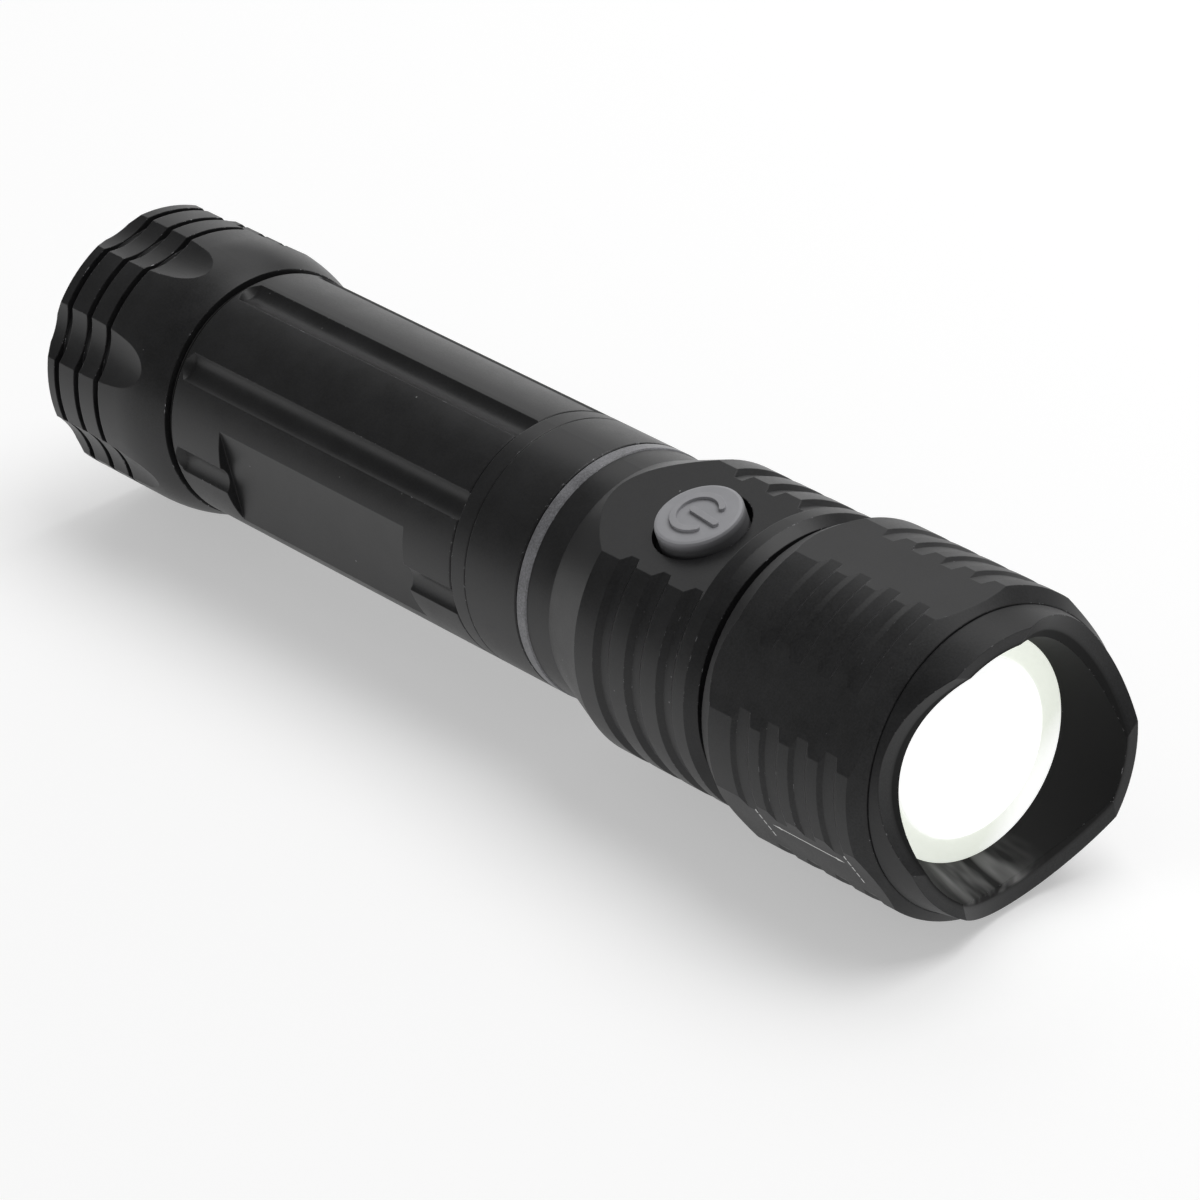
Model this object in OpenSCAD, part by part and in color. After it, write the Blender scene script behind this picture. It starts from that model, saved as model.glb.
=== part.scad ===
// Focusing hand torch: battery tube with a screwed tail cap, side switch and sliding zoom head.
// Every module is drawn along its own +Z (tail to lens) with +X up, then place() lays it down:
// world +X points from tail to lens, world +Z is up, and the lowest head flat rests on Z = 0.

/* [Tail cap] */
// Outside diameter of the tail cap
cap_d = 35.5; // [34.5:0.1:36.5]
// Length of the tail cap
cap_length = 24.0; // [23.5:0.1:24.2]
// Number of flutes round the tail cap
flute_count = 7; // [6:1:8]
// Depth of each flute
flute_depth = 1.1; // [0.6:0.1:1.2]
// Turn of the flutes away from straight up
flute_turn = 14; // [0:1:51]

/* [Battery tube] */
// Outside diameter of the tube and of the rings at its front end
tube_d = 32; // [31.8:0.1:32.2]
// Length of the tube that shows
tube_length = 56.85; // [56.8:0.05:56.9]
// Number of channels along the tube
channel_count = 8; // [6:1:10]
// Depth of each channel
channel_depth = 0.95; // [0.5:0.05:0.95]
// Turn of the channels away from straight up
channel_turn = 9; // [0:1:45]
// Length of the flat panel on the tube
panel_length = 37.4; // [20:0.1:37.6]

/* [Rings] */
// Width of the lock ring behind the collar
lock_ring_w = 2.85; // [2.4:0.05:2.9]
// Outside diameter of the smooth collar, which a clamp ring fits
collar_d = 32; // [31.8:0.1:32.2]
// Width of the smooth collar
collar_w = 9.9; // [9.6:0.1:10]
// Width of the grey trim ring
trim_ring_w = 1.9; // [1.6:0.1:2]

/* [Switch housing] */
// Outside diameter of the switch housing
housing_d = 37.3; // [37:0.1:38]
// Distance from the axis to the flat that holds the button
button_flat_h = 16.1; // [16:0.02:16.3]
// Turn of the button away from straight up
button_turn = 14.5; // [0:0.5:30]
// Diameter of the button
button_d = 10.9; // [10.4:0.1:10.9]
// How far the button stands out of its flat
button_proud = 1.8; // [1.4:0.1:2.2]
// How far the button is pressed in
button_travel = 1.2; // [0.8:0.1:1.2]

/* [Zoom head] */
// Outside diameter of the zoom head
head_d = 40.4; // [40:0.1:41]
// Length of the zoom head without its bezel
head_length = 29.1; // [29:0.1:29.3]
// Number of flats round the head
head_flat_count = 6; // [6:1:6]
// Distance from the axis to each head flat
head_flat_h = 19.5; // [19.3:0.05:19.6]
// How far the head slides forward to focus
focus_travel = 7; // [5:0.5:7]
// Gap between the switch housing and the head when it is pushed back
focus_gap = 2; // [1.8:0.1:2]

/* [Bezel and lens] */
// Length of the bezel ring in front of the head
bezel_length = 4.7; // [4.5:0.1:5]
// Depth of each scallop in the bezel's front edge
scallop_depth = 3.6; // [2:0.1:3.7]
// Turn of the bezel's teeth away from straight up
tooth_turn = 9; // [0:1:60]
// Diameter of the lens flange
lens_d = 28.2; // [28:0.1:28.2]
// Diameter of the domed middle of the lens
lens_dome_d = 22; // [20:0.5:22]
// How far the dome stands out of the flange
lens_dome_rise = 4.8; // [3:0.1:5]

/* [Hidden] */
$fn = 96;
eps = 0.01;

// Places along the axis, from the tail end
tube_z = cap_length + 1.1;
lock_z = tube_z + tube_length;
collar_z = lock_z + lock_ring_w;
trim_z = collar_z + collar_w;
neck_z = trim_z + trim_ring_w;
cone_z = neck_z + 4.25;
housing_z = cone_z + 8.25;
housing_end = housing_z + 21.5;
head_z = housing_end + focus_gap;
bezel_z = head_z + head_length;
total_length = bezel_z + bezel_length;
button_z = housing_z + 7.7;
crest_w = 3.4;

// Radii that more than one piece shares
tube_r = tube_d / 2;
cap_r = cap_d / 2;
housing_r = housing_d / 2;
head_r = head_d / 2;
nose_r = 14.9;
fit = 0.03;
part_line = 0.12;
tube_bore_r = 13.4;
neck_r = 14;
neck_bore_r = 12.4;
neck_start = lock_z - 9;
slide_r = 16.4;
slide_fit = 0.05;
head_bore_r = 17.4;
barrel_bore_r = 14.05;
spigot_r = 14.9;
spigot_z = housing_end - 5.4;

// Tail cap
cap_wall = 3.6;
cap_cavity_r = 12.6;
cap_shoulder_z = 8.6;
nose_z = cap_shoulder_z + 0.8;
cap_groove_z = [2.8, 7.05, 11.3];
cap_groove_w = 1.1;
cap_groove_depth = 1.35;
flute_cutter_r = 9.4;
flute_reach = 8;
flute_fade_r = 90;
board_t = 1.5;
tail_board_z = cap_wall + 0.1;

// Battery carrier for four AAA cells
carrier_r = 13.2;
carrier_z = 18.5;
carrier_end = neck_start - 0.45;
plate_t = 3;
cell_r = 5.25;
cell_pitch_r = 7.6;
cell_length = 44.5;
contact_rear = carrier_z + plate_t - 0.2;
contact_front = carrier_end - plate_t + 0.2;

// Panel, channels
channel_cutter_r = 2.5;
channel_start = tube_z + 1.1;
panel_z = tube_z + 10.1;
panel_half_angle = 24.5;
panel_turn = channel_turn + 90;

// Switch and driver
driver_z = neck_z + 1.7;
button_r = button_d / 2;
button_hole_r = 6.1;
pocket_r = 7.2;
pocket_top = 14.4;
button_top = button_flat_h + button_proud;
button_base = 12.7;
boot_h = 13.6;
switch_h = 8;
switch_size = 6.2;
plunger_r = 1.6;

// Head, barrel and light engine
barrel_end = 150.2 - 132.6 + head_z;
land_end = head_z + 8.85;
stop_z = land_end + focus_travel + 0.05;
seat_z = barrel_end + 0.1;
flange_z = barrel_end + 5.4;
flange_t = 2;
gasket_z = flange_z - 0.6;
pill_z = barrel_end - 10.3;
led_z = barrel_end - 2.2;
slide_seal_z = land_end - 0.85;
recess_back_r = 13.9;
recess_front_r = 16.1;
bezel_back_r = 18.55;
bezel_front_r = 17.8;
groove_pitch = 5.05;

// Colours
anodised = "#2a2a2c";
grey_ring = "#808084";
grey_rubber = "#77777c";
black_rubber = "#151515";
steel = "#b9bcc0";
brass = "#b99a4c";
board_green = "#1f5a38";
dark_plastic = "#26262a";
white_plastic = "#e9e9e4";
clear_lens = "#eef3ea";
cell_wrap = "#3d4a58";

// ---- Shared shapes ----

// Lay a piece down: local +Z to world +X, local +X to world +Z
module place() {
    translate([-total_length / 2, 0, head_flat_h]) rotate([180, 0, 0]) rotate([0, 90, 0]) children();
}

// Work on the skin at a turn away from up: local +Z points out of the skin, local +X to the lens
module radial(z, turn) {
    rotate([0, 0, turn]) translate([0, 0, z]) rotate([0, 90, 0]) rotate([0, 0, 180]) children();
}

// Cylinder between two places along the axis
module rod(r, z0, z1) {
    translate([0, 0, z0]) cylinder(r = r, h = z1 - z0);
}

// Cone or tapered rod between two places along the axis
module taper(r0, r1, z0, z1) {
    translate([0, 0, z0]) cylinder(r1 = r0, r2 = r1, h = z1 - z0);
}

// Ring with square edges
module ring(r_out, r_in, z0, z1) {
    difference() {
        rod(r_out, z0, z1);
        rod(r_in, z0 - 1, z1 + 1);
    }
}

// Rod with a small chamfer at each end
module chamfered_rod(r, z0, z1, c) {
    rotate_extrude() polygon([[0, z0], [r - c, z0], [r, z0 + c], [r, z1 - c], [r - c, z1], [0, z1]]);
}

// Ring with chamfered outer edges
module chamfered_ring(r_out, r_in, z0, z1, c) {
    difference() {
        chamfered_rod(r_out, z0, z1, c);
        rod(r_in, z0 - 1, z1 + 1);
    }
}

// O-ring of a given section radius
module o_ring(centre_r, section_r, z) {
    translate([0, 0, z]) rotate_extrude() translate([centre_r, 0]) circle(r = section_r, $fn = 32);
}

// Groove with sloping walls, taken out of a rod
module groove(r, depth, z, top_w, bottom_w) {
    rotate_extrude() polygon([
        [r - depth, z - bottom_w / 2],
        [r + 0.5, z - top_w / 2 - 0.5 * (top_w - bottom_w) / 2 / depth],
        [r + 0.5, z + top_w / 2 + 0.5 * (top_w - bottom_w) / 2 / depth],
        [r - depth, z + bottom_w / 2]
    ]);
}

// Flat cut on the skin, at a height above the axis, over a length
module skin_flat(h, turn, z0, z1) {
    rotate([0, 0, turn]) translate([h, -30, z0]) cube([30, 60, z1 - z0]);
}

// Cutter that lies along the axis and fades out in a long curve at its front end
module fading_cutter(r, centre, turn, z0, z1, fade_r) {
    rotate([0, 0, turn]) translate([centre, 0, 0]) rotate_extrude() union() {
        translate([0, z0]) square([r, z1 - z0]);
        intersection() {
            translate([r - fade_r, z1]) circle(r = fade_r, $fn = 720);
            translate([0, z1 - eps]) square([r, fade_r]);
        }
    }
}

// Coil spring: a round wire swept along a helix whose radius may change
module coil(r0, r1, z0, z1, turns, wire_r) {
    sides = 8;
    steps = ceil(turns * 20);
    function coil_r(t) = r0 + (r1 - r0) * t;
    function coil_point(i, j) =
        let (t = i / steps, a = 360 * turns * t, b = 360 * j / sides, r = coil_r(t) + wire_r * cos(b))
        [r * cos(a), r * sin(a), z0 + wire_r + (z1 - z0 - 2 * wire_r) * t + wire_r * sin(b)];
    points = [for (i = [0:steps]) for (j = [0:sides - 1]) coil_point(i, j)];
    walls = [for (i = [0:steps - 1]) for (j = [0:sides - 1])
        [i * sides + j, (i + 1) * sides + j, (i + 1) * sides + (j + 1) % sides, i * sides + (j + 1) % sides]];
    start_cap = [for (j = [0:sides - 1]) j];
    end_cap = [for (j = [sides - 1:-1:0]) steps * sides + j];
    polyhedron(points = points, faces = concat(walls, [start_cap, end_cap]), convexity = 8);
}

// Cap-head screw pointing back from z, with its head in front
module screw(thread_r, head_r, z, length, head_t) {
    rod(thread_r, z - length, z + eps);
    difference() {
        chamfered_rod(head_r, z, z + head_t, 0.15);
        rod(head_r * 0.5, z + head_t * 0.45, z + head_t + 1, $fn = 6);
    }
}

// ---- Tail ----

module tail_cap() {
    color(anodised) place() difference() {
        rotate_extrude() intersection() {
            polygon([[0, 0], [cap_r - 0.8, 0], [cap_r, 0.8], [cap_r + 1, cap_length], [0, cap_length]]);
            union() {
                square([cap_r, cap_length - 8.3]);
                translate([0, cap_length - 8.3]) intersection() {
                    square([cap_r, 8.3]);
                    translate([cap_r - 23, 0]) circle(r = 23, $fn = 240);
                }
            }
        }
        rod(cap_cavity_r, cap_wall, cap_shoulder_z + 1);
        rod(nose_r + fit, cap_shoulder_z, cap_length + 1);
        for (z = cap_groove_z) ring(cap_r + 1, cap_r - cap_groove_depth, z - cap_groove_w / 2, z + cap_groove_w / 2);
        for (i = [0:flute_count - 1])
            fading_cutter(flute_cutter_r, cap_r - flute_depth + flute_cutter_r,
                flute_turn + i * 360 / flute_count, -1, flute_reach, flute_fade_r);
    }
}

module tail_ring() {
    color(brass) place() difference() {
        ring(cap_cavity_r - 0.05, 10.4, tail_board_z + board_t + 0.1, tail_board_z + board_t + 1.6);
        for (a = [0, 180]) rotate([0, 0, a]) translate([11.5, 0, tail_board_z + board_t + 0.9]) rod(0.7, 0, 2);
    }
}

module tail_board() {
    color(board_green) place() rod(12.5, tail_board_z, tail_board_z + board_t);
}

module tail_spring() {
    color(steel) place() coil(8.5, 4.6, tail_board_z + board_t, carrier_z - 0.35, 5, 0.55);
}

module tail_o_ring() {
    color(black_rubber) place() o_ring(15.05, 0.5, tube_z - 0.55);
}

// ---- Battery tube and the carrier inside it ----

module battery_tube() {
    color(anodised) place() difference() {
        union() {
            chamfered_rod(nose_r, nose_z, tube_z + 1, 0.4);
            chamfered_rod(tube_r, tube_z, lock_z, 0.15);
        }
        rod(tube_bore_r, nose_z - 1, neck_start + 1);
        rod(neck_r + 0.02, neck_start, lock_z + 1);
        ring(nose_r + 1, 14.52, tube_z - 1.08, tube_z);
        for (i = [0:channel_count - 1]) rotate([0, 0, channel_turn + i * 360 / channel_count])
            translate([tube_r - channel_depth + channel_cutter_r, 0, 0]) union() {
                taper(channel_cutter_r - 0.9, channel_cutter_r, channel_start - 0.9, channel_start);
                rod(channel_cutter_r, channel_start - eps, lock_z + 1);
            }
        skin_flat(tube_r * cos(panel_half_angle), panel_turn, panel_z, panel_z + panel_length);
    }
}

// Carrier end plate: pockets for the cell ends and holes for the screw and contacts
module carrier_plate(z0, inner_face) {
    difference() {
        chamfered_rod(carrier_r, z0, z0 + plate_t, 0.3);
        for (i = [0:3]) rotate([0, 0, 45 + i * 90]) translate([cell_pitch_r, 0, inner_face - 0.6]) rod(4.6, 0, 1.2);
        rod(1.25, z0 - 1, z0 + plate_t + 1);
    }
}

module carrier_rear_plate() {
    color(dark_plastic) place() carrier_plate(carrier_z, carrier_z + plate_t);
}

module carrier_front_plate() {
    color(dark_plastic) place() carrier_plate(carrier_end - plate_t, carrier_end - plate_t);
}

module carrier_spine() {
    color(dark_plastic) place() difference() {
        rod(2.2, carrier_z + plate_t, carrier_end - plate_t);
        rod(1.05, carrier_z + plate_t - 1, carrier_z + plate_t + 9);
        rod(1.05, carrier_end - plate_t - 9, carrier_end - plate_t + 1);
    }
}

module carrier_screws() {
    color(steel) place() {
        screw(1, 2, carrier_end, 10.5, 0.4);
        translate([0, 0, 2 * carrier_z]) mirror([0, 0, 1]) screw(1, 2, carrier_z, 10.5, 0.4);
    }
}

// Sheet contacts let into the plates' inner faces, and the ring contacts outside them
module carrier_contacts() {
    color(brass) place() {
        for (i = [0:3]) rotate([0, 0, 45 + i * 90]) translate([cell_pitch_r, 0, 0]) {
            rod(4.4, contact_rear - 0.4, contact_rear);
            rod(4.4, contact_front, contact_front + 0.4);
        }
        ring(6.2, 2.3, carrier_end, carrier_end + 0.3);
        ring(6.2, 2.3, carrier_z - 0.3, carrier_z);
    }
}

// One sprung contact at the flat end of each cell, at alternate ends
module carrier_springs() {
    color(steel) place() for (i = [0:3]) rotate([0, 0, 45 + i * 90]) translate([cell_pitch_r, 0, 0])
        if (i % 2 == 0) coil(3.8, 2.6, contact_rear, contact_front - cell_length, 3, 0.25);
        else coil(2.6, 3.8, contact_rear + cell_length, contact_front, 3, 0.25);
}

// AAA cell; odd and even cells face opposite ways, each with its cap on a contact
module cell(i) {
    flip = i % 2 == 1;
    z = flip ? contact_rear : contact_front - cell_length;
    color(cell_wrap) place() rotate([0, 0, 45 + i * 90]) translate([cell_pitch_r, 0, z]) {
        if (flip) {
            chamfered_rod(cell_r, 1, cell_length, 0.4);
            rod(1.9, 0, 1.5);
        } else {
            chamfered_rod(cell_r, 0, cell_length - 1, 0.4);
            rod(1.9, cell_length - 1.5, cell_length);
        }
    }
}

module tube_o_ring() {
    color(black_rubber) place() o_ring(13.52, 0.49, neck_start + 3);
}

// ---- Rings round the neck ----

module lock_ring() {
    color(anodised) place() chamfered_ring(tube_r, neck_r + 0.02, lock_z + part_line, collar_z, 0.12);
}

module collar() {
    color(anodised) place() chamfered_ring(collar_d / 2, neck_r + 0.02, collar_z, trim_z - part_line, 0.15);
}

module trim_ring() {
    color(grey_ring) place() chamfered_ring(tube_r, neck_r + 0.02, trim_z, neck_z, 0.2);
}

// ---- Switch housing and what it holds ----

module switch_housing() {
    color(anodised) place() difference() {
        rotate_extrude() polygon([
            [0, neck_start], [neck_r - 0.4, neck_start], [neck_r, neck_start + 0.4], [neck_r, neck_z],
            [tube_r - 0.15, neck_z], [tube_r - 0.15, cone_z], [housing_r, housing_z],
            [housing_r, housing_end - 1.4], [housing_r - 1, housing_end], [0, housing_end]
        ]);
        rod(neck_bore_r, neck_start - 1, spigot_z + 1);
        rod(spigot_r + 0.02, spigot_z, housing_end + 1);
        ring(neck_r + 1, 13, neck_start + 2.3, neck_start + 3.7);
        for (i = [0:2]) groove(housing_r, 0.6, housing_z + 4.9 + i * 5.8, 3, 1.4);
        skin_flat(button_flat_h, button_turn, cone_z - 1, housing_end - crest_w);
        radial(button_z, button_turn) {
            translate([0, 0, 8]) cylinder(r = pocket_r, h = pocket_top - 8);
            cylinder(r = button_hole_r, h = 30);
        }
    }
}

module contact_board() {
    color(board_green) place() rod(neck_bore_r - 0.05, neck_start + 4, neck_start + 4 + board_t);
}

module contact_ring() {
    color(brass) place() ring(neck_bore_r - 0.03, 10.6, neck_start + 2.2, neck_start + 4);
}

module contact_spring() {
    color(steel) place() coil(4.2, 6, carrier_end + 0.3, neck_start + 4, 3, 0.4);
}

module battery_wires() {
    color("#a33a30") place() for (y = [-5, 5])
        translate([-4, y, 0]) rod(0.7, neck_start + 4 + board_t, driver_z, $fn = 24);
}

module driver_board() {
    color(board_green) place() rod(neck_bore_r - 0.1, driver_z, driver_z + board_t);
}

// Coil, controller and capacitors on the driver board
module driver_parts() {
    front = driver_z + board_t;
    color(dark_plastic) place() {
        translate([-6.5, 0, 0]) chamfered_rod(3, front, front + 2.6, 0.3);
        translate([2, -2.5, front]) cube([5, 5, 1.2]);
        for (y = [-7, 5.4]) translate([-1, y, front]) cube([3, 1.6, 1]);
        translate([-2, -8, driver_z - 1.4]) cube([4, 3, 1.4]);
        translate([-2, 5, driver_z - 1.4]) cube([4, 3, 1.4]);
    }
}

// Plastic frame that fills the lower bore and carries the switch board
module switch_frame() {
    color(dark_plastic) place() difference() {
        intersection() {
            rod(neck_bore_r - 0.1, button_z - 12, button_z + 7.8);
            rotate([0, 0, button_turn]) translate([-20, -20, button_z - 20]) cube([20 + switch_h - 1, 40, 40]);
        }
        rod(5, button_z - 13, button_z + 9);
        wire_places() rod(1.3, button_z - 13, button_z + 9);
        for (x = [-8, 6.2]) radial(button_z + x, button_turn) cylinder(r = 0.85, h = 20);
        radial(button_z, button_turn) translate([-7, -3, 0]) cube([11, 6, 20]);
    }
}

module switch_board() {
    color(board_green) place() difference() {
        radial(button_z, button_turn) translate([-10, -8, switch_h - 1]) cube([17.6, 16, 1]);
        for (x = [-8, 6.2]) radial(button_z + x, button_turn) cylinder(r = 1.1, h = 20);
    }
}

module switch_screws() {
    color(steel) place() for (x = [-8, 6.2]) radial(button_z + x, button_turn)
        screw(0.8, 1.5, switch_h, 3.6, 1);
}

module tact_switch() {
    color(dark_plastic) place() difference() {
        radial(button_z, button_turn)
            translate([-switch_size / 2, -switch_size / 2, switch_h]) cube([switch_size, switch_size, 3.3]);
        radial(button_z, button_turn) translate([0, 0, switch_h + 1]) cylinder(r = plunger_r + 0.1, h = 10);
    }
}

module switch_plunger() {
    color(white_plastic) place() radial(button_z, button_turn) rod(plunger_r, switch_h + 2.3, button_base - 0.02);
}

// Raised power mark: a ring that is open towards the lens, with a bar in the opening
module power_mark(ring_r, stroke, height) {
    gap_angle = 44;
    bar_start = -0.9;
    bar_end = 3.6;
    difference() {
        ring(ring_r + stroke / 2, ring_r - stroke / 2, 0, height);
        linear_extrude(height = 3 * height, center = true)
            polygon([[0, 0], [9 * cos(gap_angle), 9 * sin(gap_angle)], [9 * cos(gap_angle), -9 * sin(gap_angle)]]);
    }
    for (a = [-gap_angle, gap_angle]) rotate([0, 0, a]) translate([ring_r, 0, 0]) cylinder(r = stroke / 2, h = height);
    rotate([0, 0, -5]) {
        translate([bar_start, -stroke / 2, 0]) cube([bar_end - bar_start, stroke, height]);
        for (x = [bar_start, bar_end]) translate([x, 0, 0]) cylinder(r = stroke / 2, h = height);
    }
}

module button() {
    color(grey_rubber) place() radial(button_z, button_turn) {
        rotate_extrude() polygon([
            [0, button_base], [6.2, button_base], [6.2, boot_h - 0.1], [button_r, boot_h - 0.1],
            [button_r, button_top - 0.45], [button_r - 0.13, button_top - 0.13],
            [button_r - 0.45, button_top], [0, button_top]
        ]);
        translate([0, 0, button_top - eps]) power_mark(3, 0.8, 0.42);
    }
}

module button_boot() {
    color(black_rubber) place() radial(button_z, button_turn) ring(pocket_r - 0.05, button_r + 0.08, boot_h, pocket_top);
}

module button_seat() {
    color(dark_plastic) place() radial(button_z, button_turn) ring(pocket_r - 0.05, 6.3, 11.4, boot_h);
}

// ---- Guide barrel and light engine ----

module guide_barrel() {
    color(anodised) place() difference() {
        union() {
            rod(spigot_r, spigot_z, housing_end + 1);
            chamfered_rod(slide_r, housing_end, barrel_end, 0.3);
        }
        rod(12.6, spigot_z - 1, barrel_end + 1);
        rod(barrel_bore_r, pill_z, barrel_end + 1);
        ring(spigot_r + 1, 14.1, housing_end - 4.6, housing_end - 3.4);
        ring(slide_r + 1, 15, slide_seal_z - 0.85, slide_seal_z + 0.85);
        ring(slide_r + 1, 15.6, stop_z - 0.05, stop_z + 1.35);
    }
}

module barrel_o_ring() {
    color(black_rubber) place() o_ring(14.5, 0.4, housing_end - 4);
}

module slide_o_ring() {
    color(black_rubber) place() o_ring(15.73, 0.7, slide_seal_z);
}

// Open snap ring that stops the head coming off
module stop_ring() {
    color(steel) place() difference() {
        ring(head_bore_r - 0.1, 15.65, stop_z, stop_z + 1.3);
        rotate([0, 0, 180]) translate([0, -1.5, stop_z - 1]) cube([30, 3, 4]);
    }
}

// Places of the wires and screws round the light engine
module wire_places() {
    for (y = [-7.2, 7.2]) rotate([0, 0, button_turn]) translate([-4, y, 0]) children();
}

module screw_places() {
    for (a = [0, 180]) rotate([0, 0, button_turn + a]) translate([8, 0, 0]) children();
}

module led_pill() {
    color(brass) place() difference() {
        chamfered_rod(barrel_bore_r - 0.03, pill_z, led_z, 0.3);
        rod(6, pill_z - 1, led_z - 3.5);
        wire_places() rod(1.1, pill_z - 1, led_z + 1);
        screw_places() rod(0.85, led_z - 5, led_z + 1);
    }
}

module pill_ring() {
    color(anodised) place() difference() {
        ring(barrel_bore_r - 0.03, 11.2, led_z, led_z + 1.8);
        for (a = [45, 225]) rotate([0, 0, a]) translate([12.6, 0, led_z + 0.9]) rod(0.7, 0, 2);
    }
}

module led_board() {
    color(white_plastic) place() difference() {
        rod(11, led_z, led_z + board_t);
        wire_places() rod(1.1, led_z - 1, led_z + board_t + 1);
        screw_places() rod(1.1, led_z - 1, led_z + board_t + 1);
    }
}

module led_emitter() {
    base = led_z + board_t;
    color("#e8d86a") place() {
        translate([-2.7, -2.7, base]) cube([5.4, 5.4, 0.8]);
        intersection() {
            translate([0, 0, base + 0.8]) sphere(r = 2.3);
            rod(3, base + 0.7, base + 4);
        }
    }
}

module led_screws() {
    color(steel) place() screw_places() screw(0.8, 1.6, led_z + board_t, 5, 0.9);
}

module led_wires() {
    color("#a33a30") place() wire_places() rod(0.7, driver_z + board_t, led_z + board_t + 0.4, $fn = 24);
}

// ---- Zoom head ----

module zoom_head() {
    color(anodised) place() difference() {
        rotate_extrude() polygon([
            [0, head_z], [head_r - 1.5, head_z], [head_r, head_z + 2.9], [head_r, bezel_z - 1.9],
            [head_r - 1.5, bezel_z - part_line], [0, bezel_z - part_line]
        ]);
        rod(slide_r + slide_fit, head_z - 1, land_end + 1);
        rod(head_bore_r, land_end, bezel_z + 1);
        for (i = [0:3]) groove(head_r, 0.35, head_z + 8.5 + i * groove_pitch, 3.2, 1.9);
        for (i = [0:head_flat_count - 1]) skin_flat(head_flat_h, i * 360 / head_flat_count, head_z - 1, bezel_z + 1);
    }
}

// Threaded cup that holds the lens and meets the barrel's end when the head is pushed back
module lens_seat() {
    color(anodised) place() difference() {
        rod(head_bore_r - 0.03, seat_z, flange_z + flange_t);
        rod(12.6, seat_z - 1, flange_z + flange_t + 1);
        rod(lens_d / 2 + 0.05, gasket_z, flange_z + flange_t + 1);
    }
}

module lens_gasket() {
    color(black_rubber) place() ring(lens_d / 2, 12.9, gasket_z, flange_z);
}

module lens() {
    dome_r = (pow(lens_dome_d / 2, 2) + pow(lens_dome_rise, 2)) / 2 / lens_dome_rise;
    front = flange_z + flange_t;
    color(clear_lens) place() union() {
        chamfered_rod(lens_d / 2, flange_z, front, 0.2);
        intersection() {
            translate([0, 0, front + lens_dome_rise - dome_r]) sphere(r = dome_r, $fn = 128);
            rod(lens_dome_d / 2 + 1, front - eps, front + 10);
        }
    }
}

// Bezel: threaded skirt, tapered nose, conical recess and three wide scallops
module bezel_ring() {
    back = flange_z + flange_t + 0.05;
    chord = (bezel_front_r + bezel_back_r) / 2 * sin(40);
    scallop_r = (chord * chord + scallop_depth * scallop_depth) / 2 / scallop_depth;
    color(anodised) place() difference() {
        union() {
            rod(head_bore_r - 0.03, back, bezel_z + 1);
            taper(bezel_back_r, bezel_front_r, bezel_z, total_length);
        }
        taper(recess_back_r, recess_front_r + 0.25, back - eps, total_length + 1);
        ring(head_bore_r + 1, 16.5, bezel_z - 1.5, bezel_z - 0.5);
        for (i = [0:2])
            radial(total_length - scallop_depth + scallop_r, tooth_turn + 60 + i * 120)
                translate([0, 0, 6]) cylinder(r = scallop_r, h = 20, $fn = 180);
    }
}

module bezel_o_ring() {
    color(black_rubber) place() o_ring(16.93, 0.42, bezel_z - 1);
}

tail_cap();
tail_ring();
tail_board();
tail_spring();
tail_o_ring();
battery_tube();
carrier_rear_plate();
carrier_front_plate();
carrier_spine();
carrier_screws();
carrier_contacts();
carrier_springs();
cell(0);  // cell_1
cell(1);  // cell_2
cell(2);  // cell_3
cell(3);  // cell_4
tube_o_ring();
lock_ring();
collar();
trim_ring();
switch_housing();
contact_board();
contact_ring();
contact_spring();
battery_wires();
driver_board();
driver_parts();
switch_frame();
switch_board();
switch_screws();
tact_switch();
switch_plunger();
button();
button_boot();
button_seat();
guide_barrel();
barrel_o_ring();
slide_o_ring();
stop_ring();
led_pill();
pill_ring();
led_board();
led_emitter();
led_screws();
led_wires();
zoom_head();
lens_seat();
lens_gasket();
lens();
bezel_ring();
bezel_o_ring();
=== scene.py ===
"""Looks for the focusing hand torch: materials, wear, floor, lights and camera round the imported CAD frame."""

import math

import bpy
from mathutils import Matrix, Vector

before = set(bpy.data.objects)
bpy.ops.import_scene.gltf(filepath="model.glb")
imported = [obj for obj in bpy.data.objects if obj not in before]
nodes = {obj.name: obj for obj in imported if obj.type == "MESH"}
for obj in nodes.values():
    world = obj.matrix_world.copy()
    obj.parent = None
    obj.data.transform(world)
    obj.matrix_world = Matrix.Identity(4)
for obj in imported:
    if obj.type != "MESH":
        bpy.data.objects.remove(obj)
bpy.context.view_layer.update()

# ---- Places on the torch, in metres and radians ----

AXIS_HEIGHT = 0.0195
BUTTON_TURN = math.radians(14.5)
MARK_TURN = math.radians(120)
RECESS_RADIUS = 0.0164

# ---- Tones ----

BLACK = (0.011, 0.011, 0.0115, 1)
HEAD_BLACK = (0.016, 0.016, 0.0165, 1)
BEZEL_BLACK = (0.013, 0.013, 0.0135, 1)
# Near black for the painted shade on the bezel's recess wall
PAINTED_SHADE_BLACK = (0.0012, 0.0012, 0.0012, 1)
TRIM_GREY = (0.15, 0.15, 0.158, 1)
BUTTON_GREY = (0.31, 0.31, 0.325, 1)
SEAL_BLACK = (0.004, 0.004, 0.004, 1)
DUST = (0.22, 0.22, 0.22, 1)
# Pale grey for the laser print, and for the painted reflection in the bezel's recess
MARK_AND_REFLECTION_WHITE = (0.75, 0.75, 0.74, 1)
BARE_METAL = (0.6, 0.6, 0.62, 1)
SPRING_STEEL = (0.6, 0.6, 0.62, 1)
BRASS = (0.72, 0.52, 0.22, 1)
WHITE = (1, 1, 1, 1)


def scaled(tone, factor):
    """The same colour, darker or lighter."""
    return tuple(c * factor for c in tone[:3]) + (1,)


# ---- Small helpers for node materials ----


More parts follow.
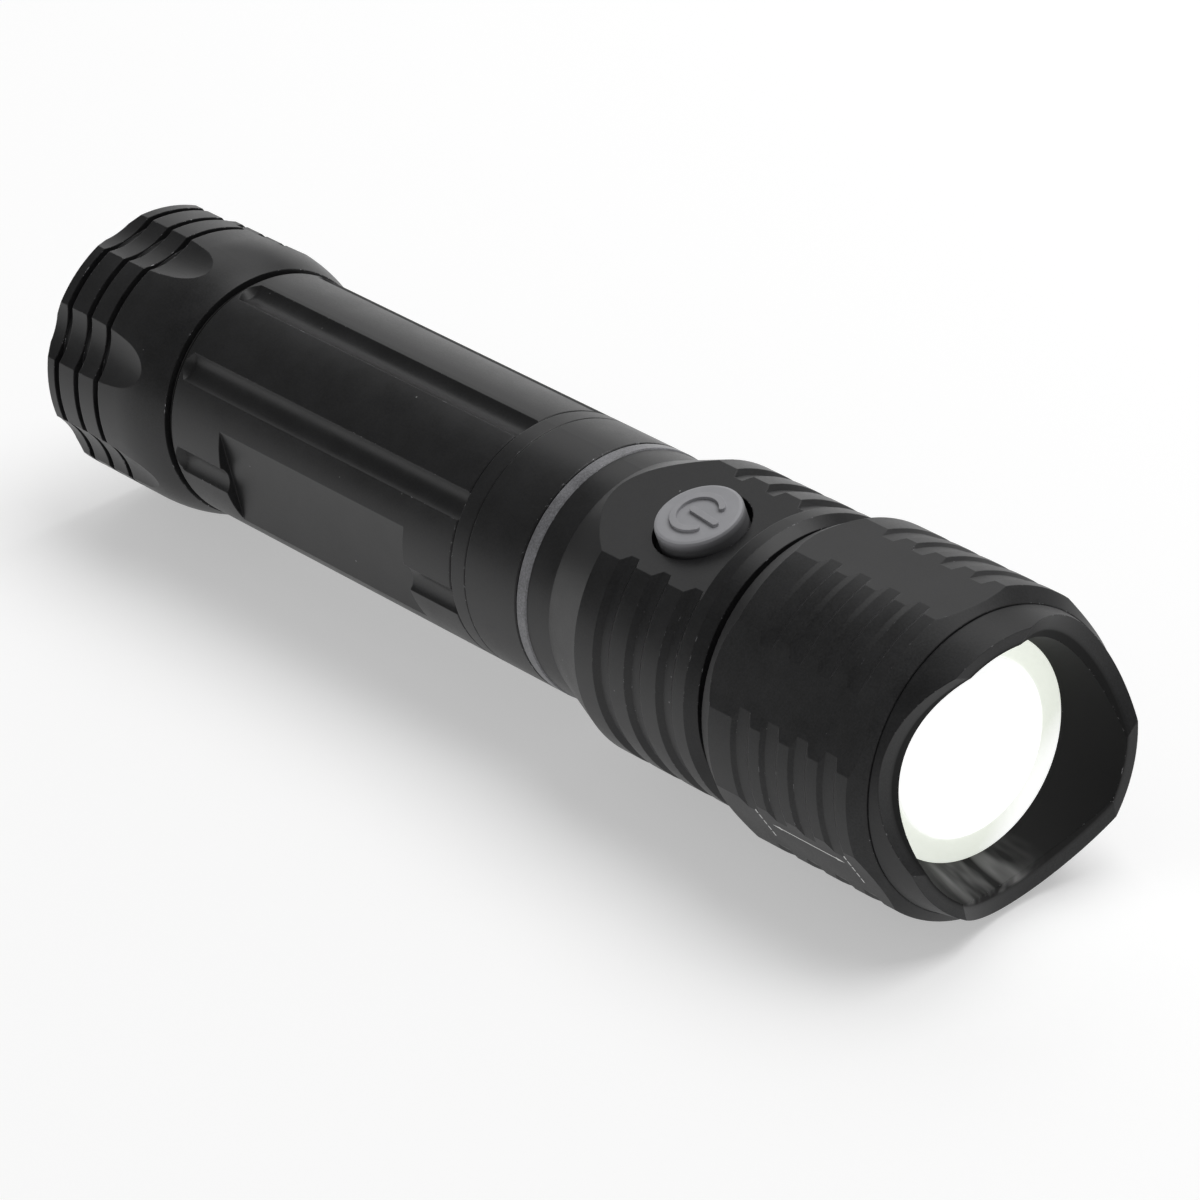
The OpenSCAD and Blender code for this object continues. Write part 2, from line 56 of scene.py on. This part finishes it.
class Tree:
    """Builds a node material a few words at a time."""

    def __init__(self, name):
        self.material = bpy.data.materials.new(name)
        self.material.use_nodes = True
        self.nodes = self.material.node_tree.nodes
        self.links = self.material.node_tree.links
        self.nodes.clear()
        self.out = self.add("ShaderNodeOutputMaterial")
        self.bsdf = self.add("ShaderNodeBsdfPrincipled")
        self.link(self.bsdf.outputs["BSDF"], self.out.inputs["Surface"])
        self.coord = self.add("ShaderNodeTexCoord").outputs["Object"]

    def add(self, kind, **settings):
        node = self.nodes.new(kind)
        for key, value in settings.items():
            setattr(node, key, value)
        return node

    def link(self, a, b):
        self.links.new(a, b)

    def put(self, socket, value):
        """A number or colour goes on the socket, an output is linked to it."""
        if isinstance(value, bpy.types.NodeSocket):
            self.link(value, socket)
        else:
            socket.default_value = value

    def surface(self, name, value):
        """Set one input of the shader."""
        self.put(self.bsdf.inputs[name], value)

    def math(self, op, a, b=0.0, clamp=False):
        node = self.add("ShaderNodeMath", operation=op, use_clamp=clamp)
        self.put(node.inputs[0], a)
        self.put(node.inputs[1], b)
        return node.outputs[0]

    def stretch(self, x, y, z):
        """Object coordinates in metres, scaled."""
        node = self.add("ShaderNodeMapping")
        node.inputs["Scale"].default_value = (x, y, z)
        self.link(self.coord, node.inputs["Vector"])
        return node.outputs["Vector"]

    def noise(self, scale, detail=3.0, rough=0.6, vector=None):
        node = self.add("ShaderNodeTexNoise")
        self.link(vector or self.coord, node.inputs["Vector"])
        node.inputs["Scale"].default_value = scale
        node.inputs["Detail"].default_value = detail
        node.inputs["Roughness"].default_value = rough
        return node.outputs["Fac"]

    def spread(self, value, lo, hi, out_lo=0.0, out_hi=1.0):
        """Map lo..hi onto out_lo..out_hi, and hold the ends."""
        node = self.add("ShaderNodeMapRange")
        node.inputs["From Min"].default_value = lo
        node.inputs["From Max"].default_value = hi
        node.inputs["To Min"].default_value = out_lo
        node.inputs["To Max"].default_value = out_hi
        self.link(value, node.inputs["Value"])
        return node.outputs["Result"]

    def blend(self, fac, a, b):
        """Colour a where fac is 0, colour b where it is 1."""
        node = self.add("ShaderNodeMix", data_type="RGBA")
        self.put(node.inputs[0], fac)
        self.put(node.inputs[6], a)
        self.put(node.inputs[7], b)
        return node.outputs[2]

    def rounded(self, radius, samples=6):
        """Shading normal with its edges rounded to a radius in metres."""
        node = self.add("ShaderNodeBevel", samples=samples)
        node.inputs["Radius"].default_value = radius
        return node.outputs["Normal"]

    def from_axis(self):
        """Distance from the torch's axis in metres."""
        flat = self.add("ShaderNodeVectorMath", operation="MULTIPLY_ADD")
        self.link(self.coord, flat.inputs[0])
        flat.inputs[1].default_value = (0, 1, 1)
        flat.inputs[2].default_value = (0, 0, -AXIS_HEIGHT)
        length = self.add("ShaderNodeVectorMath", operation="LENGTH")
        self.link(flat.outputs["Vector"], length.inputs[0])
        return length.outputs["Value"]

    def near(self, place, radius):
        """1 close to a place, fading to 0 at a radius in metres."""
        gap = self.add("ShaderNodeVectorMath", operation="DISTANCE")
        self.link(self.coord, gap.inputs[0])
        gap.inputs[1].default_value = place
        return self.spread(gap.outputs["Value"], radius, radius * 0.5)

    def along(self, direction):
        """Distance from the torch's axis along a direction, in metres."""
        dot = self.add("ShaderNodeVectorMath", operation="DOT_PRODUCT")
        self.link(self.coord, dot.inputs[0])
        dot.inputs[1].default_value = direction
        return self.math("ADD", dot.outputs["Value"], AXIS_HEIGHT * -direction[2])

    def out_at(self, turn):
        """Height above the axis in the direction at a turn away from straight up."""
        return self.along((0, -math.sin(turn), math.cos(turn)))

    def within(self, value, lo, hi, soft=0.00004):
        """1 between two limits, 0 outside them."""
        above = self.spread(value, lo - soft, lo + soft)
        below = self.spread(value, hi + soft, hi - soft)
        return self.math("MULTIPLY", above, below)

    def dust(self, scale, size, share):
        """Sparse round specks: cells per metre, radius as a part of a cell, share of cells with one."""
        cells = self.add("ShaderNodeTexVoronoi")
        self.link(self.coord, cells.inputs["Vector"])
        cells.inputs["Scale"].default_value = scale
        pick = self.add("ShaderNodeSeparateColor")
        self.link(cells.outputs["Color"], pick.inputs["Color"])
        chosen = self.spread(pick.outputs["Red"], 1 - share, 1 - share * 0.9)
        return self.math("MULTIPLY", self.spread(cells.outputs["Distance"], size, size * 0.5), chosen)

    def bump(self, height, distance, strength=0.4, normal=None):
        node = self.add("ShaderNodeBump")
        node.inputs["Strength"].default_value = strength
        node.inputs["Distance"].default_value = distance
        self.link(height, node.inputs["Height"])
        if normal:
            self.link(normal, node.inputs["Normal"])
        return node.outputs["Normal"]

    def edges(self, normal):
        """1 on edges, 0 on flat or gently curved skin."""
        true = self.add("ShaderNodeNewGeometry").outputs["Normal"]
        dot = self.add("ShaderNodeVectorMath", operation="DOT_PRODUCT")
        self.link(normal, dot.inputs[0])
        self.link(true, dot.inputs[1])
        return self.spread(dot.outputs["Value"], 0.995, 0.93)


# ---- Materials ----

TURNED_LINES = (5200, 60, 60)
DRAWN_LINES = (40, 2600, 2600)


def anodised(name, tone, rough=0.38, wear=1.0, lines=TURNED_LINES, shine=0.36, mark_and_reflection=None, shade=None):
    """Satin anodised aluminium: blasted grain, machining lines, dust, and bare metal on worn edges."""
    t = Tree(name)
    normal = t.rounded(0.00018)
    grain = t.noise(3800, 3.0, 0.75)
    mottle = t.noise(160)
    cuts = t.noise(1.0, 2.0, 0.5, vector=t.stretch(*lines))
    specks = t.spread(t.noise(1500, 3.0, 0.7), 0.58, 0.66)
    patches = t.spread(t.noise(75), 0.46, 0.60)
    worn = t.math("MULTIPLY", t.math("MULTIPLY", specks, patches), wear)
    worn = t.math("MULTIPLY", worn, t.edges(normal), clamp=True)
    uneven = t.math("ADD", t.math("MULTIPLY", grain, 0.6), t.math("MULTIPLY", mottle, 0.4))
    skin = t.blend(t.spread(uneven, 0.35, 0.65), scaled(tone, 0.6), scaled(tone, 1.8))
    skin = t.blend(t.dust(420, 0.06, 0.10), skin, DUST)
    gloss = t.spread(uneven, 0.3, 0.7, rough - 0.08, rough + 0.09)
    # Painted shade: where a shade mask is given, the colour turns near black and the roughness rises
    if shade:
        skin = t.blend(shade(t), skin, PAINTED_SHADE_BLACK)
        gloss = t.math("MAXIMUM", gloss, t.math("MULTIPLY", shade(t), 0.75))
    # Laser print, and the painted reflection in the recess, go on in pale grey
    if mark_and_reflection:
        skin = t.blend(mark_and_reflection(t), skin, MARK_AND_REFLECTION_WHITE)
    t.surface("Base Color", t.blend(worn, skin, BARE_METAL))
    t.surface("Metallic", worn)
    t.surface("Roughness", gloss)
    t.surface("Specular IOR Level", shine)
    bumped = t.bump(grain, 0.000012, 0.3, normal)
    t.surface("Normal", t.bump(cuts, 0.000006, normal=bumped))
    return t.material


def slide_mark(t):
    """Light laser marking on the head's lower front flat: a double arrow between two broken lines."""
    shaft_start = 0.0607
    shaft_end = 0.0720
    tip_reach = 0.0008
    row_width = 0.00025
    dash_pitch = 0.00115
    skin_height = 0.0194
    across = t.along((0, -math.cos(MARK_TURN), -math.sin(MARK_TURN)))
    split = t.add("ShaderNodeSeparateXYZ")
    t.link(t.coord, split.inputs["Vector"])
    length = split.outputs["X"]
    off_middle = t.math("ABSOLUTE", t.math("ADD", across, 0.0019))
    shaft = t.math("MULTIPLY", t.within(length, shaft_start, shaft_end), t.within(off_middle, -1, 0.00012))
    from_rear = t.math("SUBTRACT", length, shaft_start - tip_reach)
    from_front = t.math("SUBTRACT", shaft_end + tip_reach, length)
    to_tip = t.math("MINIMUM", from_rear, from_front)
    head_room = t.math("SUBTRACT", t.math("MULTIPLY", to_tip, 0.2), off_middle)
    heads = t.math("MULTIPLY", t.spread(head_room, 0, 0.00003), t.within(to_tip, 0, 0.0016))
    dash_place = t.math("FRACT", t.math("DIVIDE", t.math("ADD", across, 1), dash_pitch))
    dashes = t.within(dash_place, 0.02, 0.76, 0.03)
    rear_row, front_row = (t.within(length, x, x + row_width) for x in (0.05815, 0.0737))
    rows = t.math("MAXIMUM", rear_row, front_row)
    broken = t.math("MULTIPLY", t.math("MULTIPLY", rows, dashes), t.within(across, -0.0039, 0.0015))
    shape = t.math("MAXIMUM", t.math("MAXIMUM", shaft, heads), broken)
    return t.math("MULTIPLY", shape, t.within(t.out_at(MARK_TURN), skin_height, 1))


def recess_shade(t):
    """1 on the recess wall, which is painted near black as shade, 0 outside it."""
    return t.spread(t.from_axis(), RECESS_RADIUS + 0.0004, RECESS_RADIUS - 0.0002)


def recess_painted_reflection(t):
    """Painted reflection: faint pale light, streaked along the slope of the recess, low down in front of the
    lens.
    """
    reflection_streaks = t.spread(t.noise(1.0, 2.0, 0.5, vector=t.stretch(40, 330, 330)), 0.40, 0.72)
    inside = t.spread(t.from_axis(), RECESS_RADIUS, RECESS_RADIUS - 0.0004)
    low = t.near((0.0775, -0.0030, 0.0032), 0.009)
    return t.math("MULTIPLY", t.math("MULTIPLY", reflection_streaks, inside), t.math("MULTIPLY", low, 0.28))


def rubber(name, tone, rough=0.6, edge_radius=0.0003, shine=0.4, painted_shade_mask=None):
    """Matt moulded rubber with a fine grain, darkened by painted shade where a shade mask is given."""
    t = Tree(name)
    normal = t.rounded(edge_radius)
    grain = t.noise(5000)
    mottle = t.noise(300)
    skin = t.blend(t.spread(mottle, 0.3, 0.7), tone, scaled(tone, 1.12))
    if painted_shade_mask:
        # Painted shade: the masked part is made darker
        skin = t.blend(painted_shade_mask(t), skin, scaled(tone, 0.3))
    t.surface("Base Color", skin)
    t.surface("Roughness", t.spread(grain, 0.3, 0.7, rough - 0.05, rough + 0.08))
    t.surface("Specular IOR Level", shine)
    t.surface("Sheen Weight", 0.08)
    t.surface("Normal", t.bump(grain, 0.00002, normal=normal))
    return t.material


def skirt_painted_shade(t):
    """Painted shade: darker towards the foot of the button."""
    return t.spread(t.out_at(BUTTON_TURN), 0.0178, 0.0166)


def metal(name, tone, rough):
    """Bare metal with fine lines and slow stains."""
    t = Tree(name)
    lines = t.noise(1.0, vector=t.stretch(60, 60, 4000))
    stains = t.noise(400)
    t.surface("Base Color", t.blend(t.spread(stains, 0.3, 0.7), tone, scaled(tone, 0.8)))
    t.surface("Metallic", 1.0)
    t.surface("Roughness", t.spread(lines, 0.3, 0.7, rough - 0.06, rough + 0.1))
    t.surface("Normal", t.bump(lines, 0.000008, normal=t.rounded(0.0001, 4)))
    return t.material


def plastic(name, tone, rough=0.42, grain_scale=2600):
    """Moulded plastic or coated board with a fine grain."""
    t = Tree(name)
    grain = t.noise(grain_scale)
    mottle = t.noise(250)
    t.surface("Base Color", t.blend(t.spread(mottle, 0.3, 0.7), tone, scaled(tone, 1.15)))
    t.surface("Roughness", t.spread(grain, 0.3, 0.7, rough - 0.05, rough + 0.1))
    t.surface("Normal", t.bump(grain, 0.000012, 0.3, t.rounded(0.0001, 4)))
    return t.material


def lit_lens():
    """Glowing lens: pure white in the middle, with a frosted greenish rim that fades on its far side."""
    t = Tree("lit_lens")
    frost = t.noise(2600, 3.0, 0.7)
    frosted = t.blend(t.spread(frost, 0.35, 0.65), (0.52, 0.56, 0.47, 1), (0.68, 0.71, 0.62, 1))
    clear_side = t.spread(t.along((0, 0.707, -0.707)), 0.0095, 0.0125)
    rim = t.spread(t.from_axis(), 0.0108, 0.0112)
    rim = t.math("MULTIPLY", rim, t.math("SUBTRACT", 1.0, t.math("MULTIPLY", clear_side, 0.85)))
    t.surface("Base Color", t.blend(rim, (0.95, 0.96, 0.95, 1), frosted))
    t.surface("Emission Color", t.blend(rim, WHITE, (0.76, 0.79, 0.73, 1)))
    t.surface("Roughness", t.spread(rim, 0.0, 1.0, 0.12, 0.45))
    t.surface("Normal", t.bump(t.math("MULTIPLY", frost, rim), 0.00003, 0.5))
    t.surface("Emission Strength", 0.75)
    return t.material


def pale_floor():
    """Plain matt paper that glows a little, so that it stays near white."""
    t = Tree("pale_floor")
    t.surface("Base Color", (0.68, 0.68, 0.68, 1))
    t.surface("Emission Color", WHITE)
    t.surface("Emission Strength", 0.42)
    t.surface("Roughness", 0.9)
    return t.material


# ---- Materials on the CAD nodes ----


def dress(material, names):
    """Give a material to each node named in a string."""
    for name in names.split():
        data = nodes[name].data
        data.materials.clear()
        data.materials.append(material)


turned_parts = "tail_cap lock_ring collar switch_housing guide_barrel lens_seat pill_ring"
dress(anodised("turned_black", BLACK), turned_parts)
dress(anodised("head_black", HEAD_BLACK, rough=0.43, shine=0.28, mark_and_reflection=slide_mark), "zoom_head")
dress(anodised("drawn_black", BLACK, wear=0.6, lines=DRAWN_LINES), "battery_tube")
# The bezel's recess gets painted shade on its wall and a painted reflection low down
bezel = anodised("bezel_black", BEZEL_BLACK, 0.42, 0.7, shine=0.32, mark_and_reflection=recess_painted_reflection, shade=recess_shade)
dress(bezel, "bezel_ring")
dress(anodised("grey_anodised", TRIM_GREY, rough=0.36, wear=0.6), "trim_ring")
# Painted shade darkens the foot of the button
dress(rubber("grey_silicone", BUTTON_GREY, edge_radius=0.00012, painted_shade_mask=skirt_painted_shade), "button")
seals = "tail_o_ring tube_o_ring barrel_o_ring slide_o_ring bezel_o_ring button_boot lens_gasket"
dress(rubber("black_rubber", SEAL_BLACK, rough=0.75, shine=0.15), seals)
steel_parts = "tail_spring carrier_springs contact_spring stop_ring carrier_screws switch_screws led_screws"
dress(metal("spring_steel", SPRING_STEEL, 0.25), steel_parts)
dress(metal("brass", BRASS, 0.28), "tail_ring carrier_contacts contact_ring led_pill")
boards = "tail_board contact_board driver_board switch_board"
dress(plastic("circuit_board", (0.02, 0.12, 0.06, 1)), boards)
black_plastic = plastic("black_plastic", (0.012, 0.012, 0.013, 1))
dress(black_plastic, "carrier_rear_plate carrier_front_plate carrier_spine")
dress(black_plastic, "driver_parts switch_frame tact_switch button_seat")
dress(plastic("white_plastic", (0.75, 0.75, 0.72, 1)), "switch_plunger led_board")
dress(plastic("cell_wrap", (0.02, 0.05, 0.09, 1), 0.25, 900), "cell_1 cell_2 cell_3 cell_4")
dress(plastic("wire_cover", (0.45, 0.03, 0.02, 1), 0.5), "battery_wires led_wires")
dress(plastic("emitter", (0.8, 0.65, 0.1, 1), 0.2), "led_emitter")
dress(lit_lens(), "lens")

# ---- Floor, light and camera ----

half = 3.0
corners = [(-half, -half, 0), (half, -half, 0), (half, half, 0), (-half, half, 0)]
mesh = bpy.data.meshes.new("floor")
mesh.from_pydata(corners, [], [(0, 1, 2, 3)])
mesh.materials.append(pale_floor())
floor = bpy.data.objects.new("floor", mesh)
bpy.context.scene.collection.objects.link(floor)


def area(name, place, aim, size, power):
    """Rectangular lamp at a place, aimed at a point."""
    data = bpy.data.lights.new(name, "AREA")
    data.shape = "RECTANGLE"
    data.size, data.size_y = size
    data.energy = power
    lamp = bpy.data.objects.new(name, data)
    lamp.location = place
    lamp.rotation_euler = (Vector(aim) - Vector(place)).to_track_quat("-Z", "Y").to_euler()
    bpy.context.scene.collection.objects.link(lamp)


# Broad key light above the far side, a low white sweep behind it and a soft box between them
area("key", (0.25, 0.55, 1.4), (0, 0, 0), (1.3, 1.1), 15.5)
area("sweep", (-1.6, 1.5, 0.45), (0, 0, 0.02), (3.0, 0.8), 7)
area("soft_box", (-0.95, 0.75, 1.25), (0, 0, 0.02), (1.0, 0.9), 3.0)

world = bpy.data.worlds.new("studio")
world.use_nodes = True
background = world.node_tree.nodes["Background"]
background.inputs["Color"].default_value = WHITE
background.inputs["Strength"].default_value = 0.21
bpy.context.scene.world = world
bpy.context.scene.view_settings.view_transform = "Standard"

# The camera stands ahead of the torch on its button side
camera_place = (0.65529, -0.47360, 0.44352)
camera_round = math.radians(-36.134)
camera_rise = math.radians(28.149)
camera_roll = math.radians(-5.696)
facing = Matrix.Rotation(camera_round + math.pi / 2, 4, "Z")
tilt = Matrix.Rotation(math.pi / 2 - camera_rise, 4, "X")
roll = Matrix.Rotation(camera_roll, 4, "Z")
cam_data = bpy.data.cameras.new("camera")
cam_data.lens = 227.75
cam_data.sensor_width = 36
cam_data.clip_end = 20
camera = bpy.data.objects.new("camera", cam_data)
camera.matrix_world = Matrix.Translation(camera_place) @ facing @ tilt @ roll
bpy.context.scene.collection.objects.link(camera)
bpy.context.scene.camera = camera
